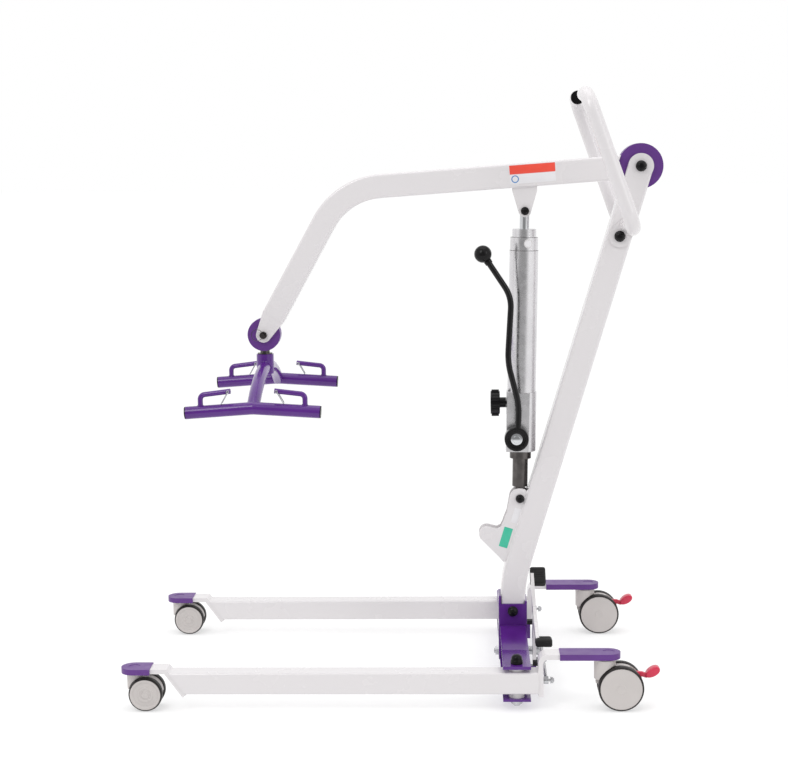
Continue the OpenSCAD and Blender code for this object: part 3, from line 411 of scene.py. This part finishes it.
def wheel(end, side):
    name = end + "_" + side
    hub = JOINT["wheels_%s_roll" % name]
    lo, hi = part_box("tyres_" + name)
    r = (hi.z - lo.z) / 2 / MM
    half = (hi.y - lo.y) / 2 / MM
    rim = r * 0.92
    discs, bands = bmesh.new(), bmesh.new()
    for s in (-1, 1):
        if end == "rear":
            face = [(0, half - 0.9), (8.6, half - 0.9), (8.9, half - 0.55), (9.6, half - 0.5),
                    (9.9, half - 0.9), (10.4, half - 1.15), (r * 0.60, half - 1.0), (r * 0.86, half - 0.75),
                    (rim - 1.2, half - 0.45), (rim - 0.2, half - 0.9), (rim, half - 1.8)]
            inner = [(rim, 11.0), (r * 0.8, 10.6), (r * 0.74, 13.5), (r * 0.36, 14.0), (r * 0.30, 10.4),
                     (4.2, 10.4)]
        else:
            face = [(0, half - 1.6), (5.5, half - 1.6), (6.2, half - 0.9), (7.6, half - 0.8),
                    (8.3, half - 1.4), (9.5, half - 3.0), (r * 0.33, half - 3.2), (r * 0.36, half - 2.2),
                    (r * 0.45, half - 2.0), (r * 0.49, half - 3.4), (r * 0.72, half - 4.0),
                    (r * 0.79, half - 1.4), (r * 0.84, half - 0.6), (rim - 0.8, half - 0.6),
                    (rim, half - 1.6)]
            inner = [(rim, 11.0), (r * 0.8, 10.6), (r * 0.74, 12.0), (r * 0.40, 12.0), (r * 0.34, 10.4),
                     (4.2, 10.4)]
        lathe(discs, soften(face, 0.35, 2) + inner + [(4.2, half - 2.4), (0, half - 2.4)], hub, (0, s, 0), 80)
        band = [(rim - 0.4, 10.2), (r - 1.8, 10.2), (r - 0.6, 11.4), (r - 0.08, 14.0)]
        for k in range(1, 8):
            t = k / 8
            band.append((r - 0.08 + 0.08 * sin(pi * t), 14.0 + (half - 19.0) * t))
        band += [(r - 0.1, half - 5.0), (r - 0.8, half - 2.6), (r - 2.2, half - 0.7),
                 (rim + 0.6, half - 0.05), (rim - 0.1, half - 0.5), (rim - 0.4, half - 2.4)]
        lathe(bands, band, hub, (0, s, 0), 96, ring=True)
    piece("wheel_discs_" + name, discs, "grey_plastic", "wheels_" + name, ["rims_" + name], 25)
    piece("wheel_tyres_" + name, bands, "tyre", "wheels_" + name, ["tyres_" + name], 40)


for end in ("front", "rear"):
    for side in ("left", "right"):
        wheel(end, side)
        s = -1 if side == "left" else 1
        name = end + "_" + side
        stem = JOINT["castor_%s_swivel" % name]
        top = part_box("housing_" + name)[1].z
        # bearing cover under the arm
        r = 19.0 if end == "front" else 24.0
        cover = bmesh.new()
        lathe(cover, [(6.6, -4.0), (r + 0.2, -4.0), (r + 0.5, -3.4), (r + 0.5, -1.0), (r - 0.4, -0.1),
                      (r - 3.0, 0.25), (6.6, 0.25)], (stem.x, stem.y, top), Z, 64, ring=True)
        piece("bearing_cover_" + name, cover, "grey_plastic", "castor_" + name)

# ---- Lever knob and hub bolt ----

knob_lo, knob_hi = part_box("lever_knob")
knob_c = (knob_lo + knob_hi) / 2
stick = Vector((-64.5, 0, 98.2)).normalized()
ball = bmesh.new()
prof = [(6.4, -18.9), (8.2, -18.4)]
for k in range(1, 25):
    t = -pi / 2 + 0.42 + (pi - 0.42) * k / 24
    prof.append((19.9 * cos(t) if k < 24 else 0, 19.9 * sin(t)))
lathe(ball, [(0, -18.9)] + prof, knob_c, stick, 56)
piece("knob_ball", ball, "black_plastic", "lever", ["lever_knob"])
collar = bmesh.new()
lathe(collar, soften([(6.1, -27), (8.6, -27), (9.2, -18.2), (6.1, -18.2)], 0.8, 3), knob_c, stick, 36,
      ring=True)
piece("knob_collar", collar, "black_plastic", "lever")

# smooth bent lever with a round hub, a recessed face and a chrome bolt
lever_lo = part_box("pump_lever")[0]
rod_y = lever_pin.y - 0.016
top_end = knob_c - stick * 0.014
path = [(lever_pin.x + 0.003, lever_pin.z + 0.020), (lever_pin.x + 0.0059, lever_pin.z + 0.0787),
        (lever_pin.x - 0.0199, lever_pin.z + 0.1787), (lever_pin.x - 0.0107, lever_pin.z + 0.3291),
        (top_end.x, top_end.z)]
path = soften(path, 0.028, 10)
lever = bmesh.new()
tube(lever, [(x, rod_y, z) for x, z in path], 0.0069, 24)
h = 29.8  # width of the hub along its bolt
lathe(lever, soften([(7.1, 0), (27, 0), (28, 1), (28, h - 2), (26.5, h), (21, h), (19.5, h - 4.5),
                     (7.1, h - 4.5)], 0.7, 3), (lever_pin.x, lever_lo.y + 0.001 * h, lever_pin.z), (0, -1, 0),
      64, ring=True)
piece("lever_smooth", lever, "black_paint", "lever", ["pump_lever"])
bolt = bmesh.new()
face = Vector((lever_pin.x, lever_lo.y + 0.0045, lever_pin.z))
lathe(bolt, soften([(0, -0.5), (13.5, -0.5), (13.5, 1.2), (0, 1.2)], 0.4, 2), face, (0, -1, 0))
slab(bolt, hexagon(17, 0.2), face - Y * 0.001, X, Z, 3.4, 0.8, 3)
piece("lever_hub_bolt", bolt, "chrome", "lever")

# ---- Plain labels, without any lettering ----

face_y = -0.02495
red_c = Vector((0.3125, face_y, 1.1770))
for name, colour, w, h, c in (("label_red", "red", 104, 20.4, red_c),
                              ("label_white", "white", 104, 21.6, red_c - over_boom * 0.0212)):
    bm = slab(bmesh.new(), box2d(w, h, 0.8), c, along_boom, over_boom, 0.3, 0.1, 2)
    piece(name, bm, LABEL[colour], "boom")
ring = lathe(bmesh.new(), [(6.4, 0.2), (8.6, 0.2), (8.6, 0.42), (6.4, 0.42)],
             red_c - over_boom * 0.0212 - along_boom * 0.0405, (0, -1, 0), 48, ring=True)
piece("label_ring_blue", ring, LABEL["blue"], "boom")
plate_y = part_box("pump_bracket")[0].y + 0.00005
for name, colour, w, h, c in (("label_green", "green", 20.5, 48.5, (0.2489, 0.3185)),
                              ("label_pale", "white", 17, 36, (0.2735, 0.3700))):
    bm = slab(bmesh.new(), box2d(w, h, 0.8), (c[0], plate_y, c[1]), out_mast, up_mast, 0.3, 0.1, 2)
    piece(name, bm, LABEL[colour], "base")


def wrapped(bm, at, up, front, radius, r_in, r_out, thick, segs=40):
    """A round sticker, or a ring, that follows a cylinder of the given radius (millimetres)."""
    side = Vector(up).cross(front)
    count = 5
    radii = [r_in + (r_out - r_in) * k / count for k in range(count + 1)]
    rows = []
    for lift, order in ((0.05, radii), (thick, radii[::-1])):
        for r in order:
            row = []
            for k in range(segs if r > 0 else 1):
                a, h = r * cos(2 * pi * k / segs), r * sin(2 * pi * k / segs)
                t = a / radius
                row.append(bm.verts.new(Vector(at) + up * h * MM
                                        + (front * cos(t) + side * sin(t)) * (radius + lift) * MM))
            rows.append(row)
    return skin(bm, rows, segs, r_in > 0)


collar_at = pump_pin + up_pump * 0.5955
turned = (Y * -cos(radians(16)) + out_pump * sin(radians(16))).normalized()
sticker = wrapped(bmesh.new(), collar_at, up_pump, turned, 32, 0, 10.3, 0.35)
piece("sticker_round", sticker, LABEL["white"], "pump")
sticker = wrapped(bmesh.new(), collar_at, up_pump, turned, 32.3, 8.6, 9.4, 0.25)
piece("sticker_ring", sticker, "grey_plastic", "pump")
seams = bmesh.new()
for u, r in ((579.0, 32.9), (609.0, 31.6), (251.0, 32.6)):
    lathe(seams, soften([(r - 3, -0.5), (r + 0.35, -0.5), (r + 0.35, 0.5), (r - 3, 0.5)], 0.2, 2),
          pump_pin + up_pump * u * MM, up_pump, 72, ring=True)
piece("pump_seams", seams, "dark_steel", "pump")

# ---- Weld seams ----

grip_weld_r = 0.0170
welds = bmesh.new()
for s in (-1, 1):
    y = s * 0.0212
    bead(welds, [on_mast(z) - out_mast * 0.0289 + Y * y for z in (0.272, 0.34, 0.425)], 2.3)
    # each grip where it meets its side plate
    elbow = handle_pin + Vector((0.0186, s * 0.0324, 0.023))
    bead(welds, [elbow + X * grip_weld_r * cos(t / 14 * pi) + Z * grip_weld_r * sin(t / 14 * pi)
                 for t in range(29)], 1.9)
piece("welds_mast", welds, "white_coat", "base")

welds = bmesh.new()
for s in (-1, 1):
    ends = [rod_pin.x + d for d in (-0.026, 0.0, 0.026)]
    line = [Vector((x, s * 0.0186, boom_pin.z - (boom_pin.x - x) * sin(slope) / cos(slope) - 0.0277))
            for x in ends]
    bead(welds, line, 1.9)
piece("welds_boom", welds, "white_coat", "boom")

rear_x = 0.3111          # front face of the rear arm's plate
slant = radians(53.6)    # slope of the front arm's edge
rise = Vector((-cos(slant), 0, sin(slant)))
for side, s in (("left", -1), ("right", 1)):
    welds = bmesh.new()
    y0 = s * abs(leg_pin.y)
    for k in (-1, 1):
        bead(welds, [(rear_x, y0 + k * 0.0233, z) for z in (0.041, 0.060, 0.082)], 1.8)
    bead(welds, [(rear_x, y0 + d, 0.0368) for d in (-0.021, 0.0, 0.021)], 1.8)
    foot = Vector((-0.4646, y0, 0.0370))
    for k in (-1, 1):
        bead(welds, [foot + rise * d + Y * k * 0.0232 for d in (0.002, 0.030, 0.057)], 1.8)
    piece("welds_leg_" + side, welds, "white_coat", "leg_" + side)

cradle_x = cradle_pin.x
bars_lo, bars_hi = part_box("cradle_frame")
bar_y = (bars_hi.y - bars_lo.y) / 2 - 0.0142
bar_mid_z = cradle_pin.z - 0.137
droop = radians(3.7)         # of the sling bars, away from the hub
hook_along = 0.1154
welds = bmesh.new()
arm_z = cradle_pin.z - 0.077
for s in (-1, 1):
    ring = []
    for k in range(41):
        t = 2 * pi * k / 40
        x, z = 0.0149 * sin(t), 0.0149 * cos(t)
        ring.append((cradle_x + x, s * (0.0202 ** 2 - x * x) ** 0.5, arm_z - 0.0004 + z))
    bead(welds, ring, 1.8)
    for e in (-1, 1):
        foot = Vector((cradle_x + e * hook_along, s * bar_y,
                       bar_mid_z - hook_along * sin(droop) / cos(droop)))
        ring = []
        for k in range(29):
            t = 2 * pi * k / 28
            y = 0.0062 * sin(t)
            ring.append(foot + Vector((0.0062 * cos(t), y, (0.01415 ** 2 - y * y) ** 0.5
                                       - e * 0.0062 * cos(t) * sin(droop))))
        bead(welds, ring, 1.3, 2.4)
piece("welds_cradle", welds, "purple_coat", "cradle")

# ---- Split ring and gate springs ----

ring_lo, ring_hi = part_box("release_ring")
ring_c = (ring_lo + ring_hi) / 2
turns = []
for k in range(0, 145):
    t = 2 * pi * k / 72
    turns.append(ring_c + Vector((0.013 * cos(t), 0.00052 * (k / 72 - 1), 0.013 * sin(t))))
piece("split_ring", tube(bmesh.new(), turns, 0.00055, 10), "dark_steel", "release_pin", ["release_ring"])

for end, e in (("front", -1), ("rear", 1)):
    for side, s in (("left", -1), ("right", 1)):
        name = "gate_%s_%s" % (end, side)
        pin = JOINT[name + "_hinge"]
        coil = bmesh.new()
        for k in (-1, 1):
            wind = []
            for i in range(0, 73):
                t = 2 * pi * i / 24
                wind.append(pin + Vector((0.0028 * cos(t), k * (0.0089 + 0.0012 * i / 24), 0.0028 * sin(t))))
            tube(coil, wind, 0.0006, 8)
            lathe(coil, soften([(0, 7.0), (1.2, 7.0), (1.2, 13.6), (0, 13.6)], 0.3, 2), pin, (0, k, 0), 20)
        piece(name + "_coil", coil, "zinc", name)

# ---- Pedal pads ----

tilt = radians(14.5)         # of the rocker at rest
rocker = JOINT["pedal_rock"]


def on_rocker(y, z):
    return Vector((0, y * cos(tilt) - z * sin(tilt), rocker.z + y * sin(tilt) + z * cos(tilt)))


pads_lo, pads_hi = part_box("pedal_pads")
pads = bmesh.new()
for s in (-1, 1):
    lean = tilt + s * radians(22)
    v = Vector((0, cos(lean), sin(lean)))
    w = X.cross(v)
    mid = on_rocker(s * 0.153, 0.115) + X * (pads_lo.x + pads_hi.x) / 2
    slab(pads, box2d(38, 50, 6.5, 6), mid - w * 0.0095, X, v, 18.2, 4.5, 5)
    for k in range(-3, 4):
        slab(pads, box2d(29, 3.2, 1.5, 3), mid + w * 0.0080 + v * k * 0.0056, X, v, 1.4, 0.6, 2)
piece("pedal_pads_moulded", pads, "black_rubber", "pedals", ["pedal_pads"])

# ---- Nuts and washers of the link rods and the rocker ----

link_x = 0.3296              # middle of the link rods' eyes
for side, s in (("left", -1), ("right", 1)):
    nuts = bmesh.new()
    pin = (0, s * (abs(leg_pin.y) - 0.008), 0.060)
    nut(nuts, (link_x + 0.0090, pin[1], pin[2]), X, 13, 5.0, washer=15, bolt=8, proud=2.2)
    lathe(nuts, [(0, 7.0), (3.1, 7.0), (3.1, 9.4), (0, 9.4)], (link_x, pin[1], pin[2]), X, 28)
    lathe(nuts, soften([(3.2, 0), (8.5, 0), (8.5, 2.0), (3.2, 2.0)], 0.3, 2),
          (0.32225, pin[1], pin[2]), X, 40, ring=True)
    piece("link_nuts_leg_" + side, nuts, "zinc", "leg_" + side)
nuts = bmesh.new()
for s in (-1, 1):
    eye_at = on_rocker(0, s * 0.027)
    nut(nuts, (link_x + 0.0049, eye_at.y, eye_at.z), X, 13, 6.2, washer=18, bolt=8, proud=3.0,
        turn=0.1 + s * 0.3)
    lathe(nuts, soften([(3.2, 0), (7.5, 0), (7.5, 4.9), (3.2, 4.9)], 0.3, 2),
          (0.3198, eye_at.y, eye_at.z), X, 36, ring=True)
piece("link_nuts_rocker", nuts, "zinc", "pedals")
nuts = bmesh.new()
for s in (-1, 1):
    lathe(nuts, soften([(7.2, 0), (14, 0), (14, 1.6), (7.2, 1.6)], 0.4, 2),
          (leg_pin.x, s * abs(leg_pin.y), 0.0192), Z, 44, ring=True)
piece("leg_pivot_washers_low", nuts, "zinc", "base")

# ---- Brake paddles ----

leaf_turn = radians(31.5)    # upward slope of a paddle
for side, s in (("left", -1), ("right", 1)):
    hub = JOINT["wheels_rear_%s_roll" % side]
    arm = [(28.3, 25), (30, 31.5), (35, 33), (47.5, 32), (56, 28.6), (62, 31), (66, 28), (62, 21.5),
           (56.5, 18.4), (47, 21.8), (34, 21), (30, 22)]
    leaf = []
    for k in range(40):
        t = 2 * pi * k / 40
        a, b = 17.6 * cos(t), (9.6 + 1.0 * cos(t)) * sin(t)
        leaf.append((69.6 + a * cos(leaf_turn) - b * sin(leaf_turn),
                     32.2 + a * sin(leaf_turn) + b * cos(leaf_turn)))
    paddle = bmesh.new()
    slab(paddle, soften(arm, 2.5, 3, closed=True), hub + Y * 0.005, X, Z, 10, 1.2, 3)
    slab(paddle, leaf, hub + Y * 0.011, X, Z, 22, 3.2, 5)
    piece("brake_paddle_" + side, paddle, "red_plastic", "brake_" + side, ["brake_pedal_" + side])

# ---- Floor, light and camera ----

def toward_viewer(tree, vector):
    """How far a direction points towards the dark end of the studio, as a grey level."""
    unit = tree.nodes.new("ShaderNodeVectorMath")
    unit.operation = "NORMALIZE"
    dot = tree.nodes.new("ShaderNodeVectorMath")
    dot.operation = "DOT_PRODUCT"
    dot.inputs[1].default_value = Vector((-0.16, -1, 0)).normalized()
    grey = tree.nodes.new("ShaderNodeMapRange")
    grey.interpolation_type = "SMOOTHSTEP"
    for key, v in (("From Min", 0.62), ("From Max", 0.93), ("To Min", 1.0), ("To Max", 0.34)):
        grey.inputs[key].default_value = v
    tree.links.new(vector, unit.inputs[0])
    tree.links.new(unit.outputs["Vector"], dot.inputs[0])
    tree.links.new(dot.outputs["Value"], grey.inputs["Value"])
    return grey.outputs["Result"]


bm = bmesh.new()
size = 60
corners = ((-size, -size), (size, -size), (size, size), (-size, size))
bm.faces.new([bm.verts.new((x, y, -0.0005)) for x, y in corners])
floor_mesh = bpy.data.meshes.new("floor")
bm.to_mesh(floor_mesh)
bm.free()
paper = bpy.data.materials.new("floor")
paper.use_nodes = True
tree = paper.node_tree
shader = tree.nodes["Principled BSDF"]
place = tree.nodes.new("ShaderNodeTexCoord").outputs["Object"]
level = toward_viewer(tree, place)
reach = tree.nodes.new("ShaderNodeVectorMath")
reach.operation = "LENGTH"
far = tree.nodes.new("ShaderNodeMapRange")
far.interpolation_type = "SMOOTHSTEP"
for key, v in (("From Min", 1.6), ("From Max", 4.5), ("To Min", 0.0), ("To Max", 1.0)):
    far.inputs[key].default_value = v
blend = tree.nodes.new("ShaderNodeMix")
blend.data_type = "RGBA"
blend.inputs["A"].default_value = (1, 1, 1, 1)
tree.links.new(place, reach.inputs[0])
tree.links.new(reach.outputs["Value"], far.inputs["Value"])
tree.links.new(far.outputs["Result"], blend.inputs["Factor"])
tree.links.new(level, blend.inputs["B"])
scaled = tree.nodes.new("ShaderNodeMix")
scaled.data_type = "RGBA"
scaled.blend_type = "MULTIPLY"
scaled.inputs["Factor"].default_value = 1
scaled.inputs["B"].default_value = (0.52, 0.52, 0.52, 1)
tree.links.new(blend.outputs["Result"], scaled.inputs["A"])
tree.links.new(scaled.outputs["Result"], shader.inputs["Base Color"])
tree.links.new(scaled.outputs["Result"], shader.inputs["Emission Color"])
shader.inputs["Emission Strength"].default_value = 1.0
shader.inputs["Roughness"].default_value = 0.8
shader.inputs["Specular IOR Level"].default_value = 0.0
floor_mesh.materials.append(paper)
floor = bpy.data.objects.new("floor", floor_mesh)
scene.collection.objects.link(floor)

world = bpy.data.worlds.new("studio")
world.use_nodes = True
scene.world = world
tree = world.node_tree
back = tree.nodes["Background"]
around = tree.nodes.new("ShaderNodeTexCoord").outputs["Generated"]
tree.links.new(toward_viewer(tree, around), back.inputs["Color"])
back.inputs["Strength"].default_value = 1.0


def softbox(name, at, aim, size, power):
    light = bpy.data.lights.new(name, "AREA")
    light.shape = "RECTANGLE"
    light.size, light.size_y = size
    light.energy = power
    o = bpy.data.objects.new(name, light)
    scene.collection.objects.link(o)
    o.location = at
    o.rotation_euler = (Vector(aim) - Vector(at)).to_track_quat("-Z", "Y").to_euler()


softbox("key", (-1.3, -2.3, 2.9), (0, 0, 0.9), (1.2, 1.6), 26)
softbox("fill", (2.6, -2.0, 2.0), (0.2, 0, 0.8), (0.7, 1.8), 10)
softbox("top", (0.1, 0.2, 3.4), (0, 0, 0.5), (2.4, 1.6), 12)

camera = bpy.data.cameras.new("camera")
camera.sensor_width = 36
camera.lens = 77.544
camera.clip_start, camera.clip_end = 0.05, 200
eye = bpy.data.objects.new("camera", camera)
scene.collection.objects.link(eye)
ahead = Vector((-0.04065034, 0.99046148, -0.13165715))
right = Vector((0.99914465, 0.03929464, -0.01288003))
up = right.cross(ahead)
turn = Matrix((right, up, -ahead)).transposed().to_4x4()
eye.matrix_world = Matrix.Translation((0.1514, -3.92812, 1.20906)) @ turn
scene.camera = eye
scene.view_settings.view_transform = "Standard"
